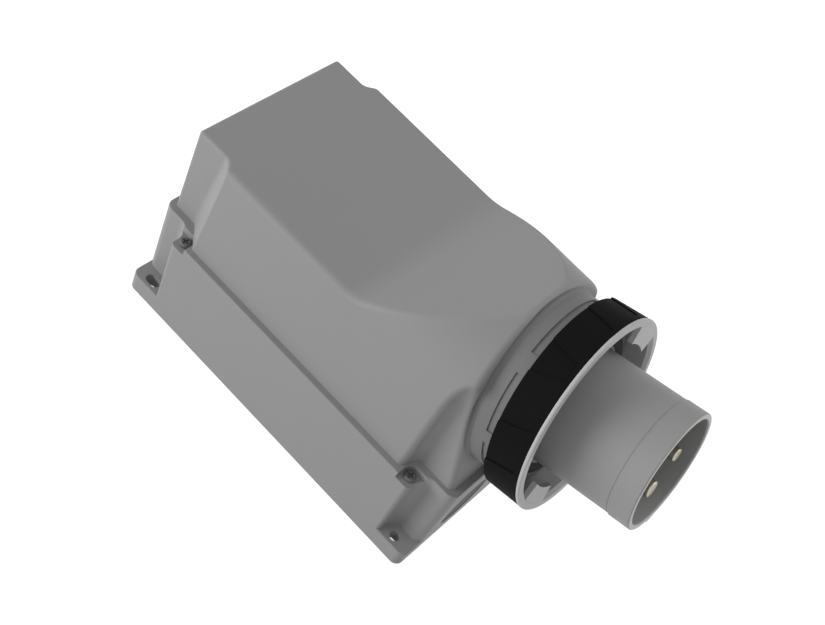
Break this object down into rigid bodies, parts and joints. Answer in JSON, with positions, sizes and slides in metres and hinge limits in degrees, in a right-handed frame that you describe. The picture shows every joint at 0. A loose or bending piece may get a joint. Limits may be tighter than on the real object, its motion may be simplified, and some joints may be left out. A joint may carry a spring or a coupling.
{
  "type": "industrial wall inlet",
  "caption": "Wall-mounted power inlet: a drafted box and hood carry a tilted round shroud with contact pins inside a bayonet locking ring.",
  "frame": {"origin": "centre of the four wall screws, on the flat back face", "axes": "+X along the box towards the shroud, +Y across the box, +Z away from the wall"},
  "size_m": [0.3115, 0.1382, 0.1882],
  "materials": {
    "box_grey": "fine satin moulding",
    "inlet_grey": "fine satin moulding",
    "ring_grey": "satin moulding",
    "grip_black": "matte black",
    "seal_black": "matte rubber",
    "gasket_grey": "foam rubber",
    "carrier_dark": "moulded insulator",
    "screw_steel": "plated steel",
    "insert_brass": "turned brass",
    "pin_nickel": "nickel-plated brass"
  },
  "bodies": {
    "housing": {"base_box": "box_grey", "hood": "box_grey", "screw_inserts": "insert_brass", "hood_gasket": "gasket_grey", "hood_screws": "screw_steel", "inlet_flange": "inlet_grey", "shroud": "inlet_grey", "flange_gasket": "gasket_grey", "flange_screws": "screw_steel", "contact_carrier": "carrier_dark", "carrier_screws": "screw_steel", "contact_retainer": "carrier_dark", "retainer_screws": "screw_steel", "pin_l1": "pin_nickel", "pin_l2": "pin_nickel", "pin_l3": "pin_nickel", "pin_neutral": "pin_nickel", "pin_earth": "pin_nickel", "pin_pilot": "pin_nickel", "terminal_screws": "screw_steel", "pilot_terminal_screw": "screw_steel", "shroud_seal": "seal_black"},
    "locking_ring": {"bayonet_ring": "ring_grey", "grip_sleeve": "grip_black"}
  },
  "joints": [
    {"name": "locking_ring_turn", "type": "hinge", "parent": "housing", "child": "locking_ring", "pos_m": [0.116, 0, 0.12575], "axis": [0.9668, 0, 0.2554], "range_deg": [0, 29]}
  ]
}
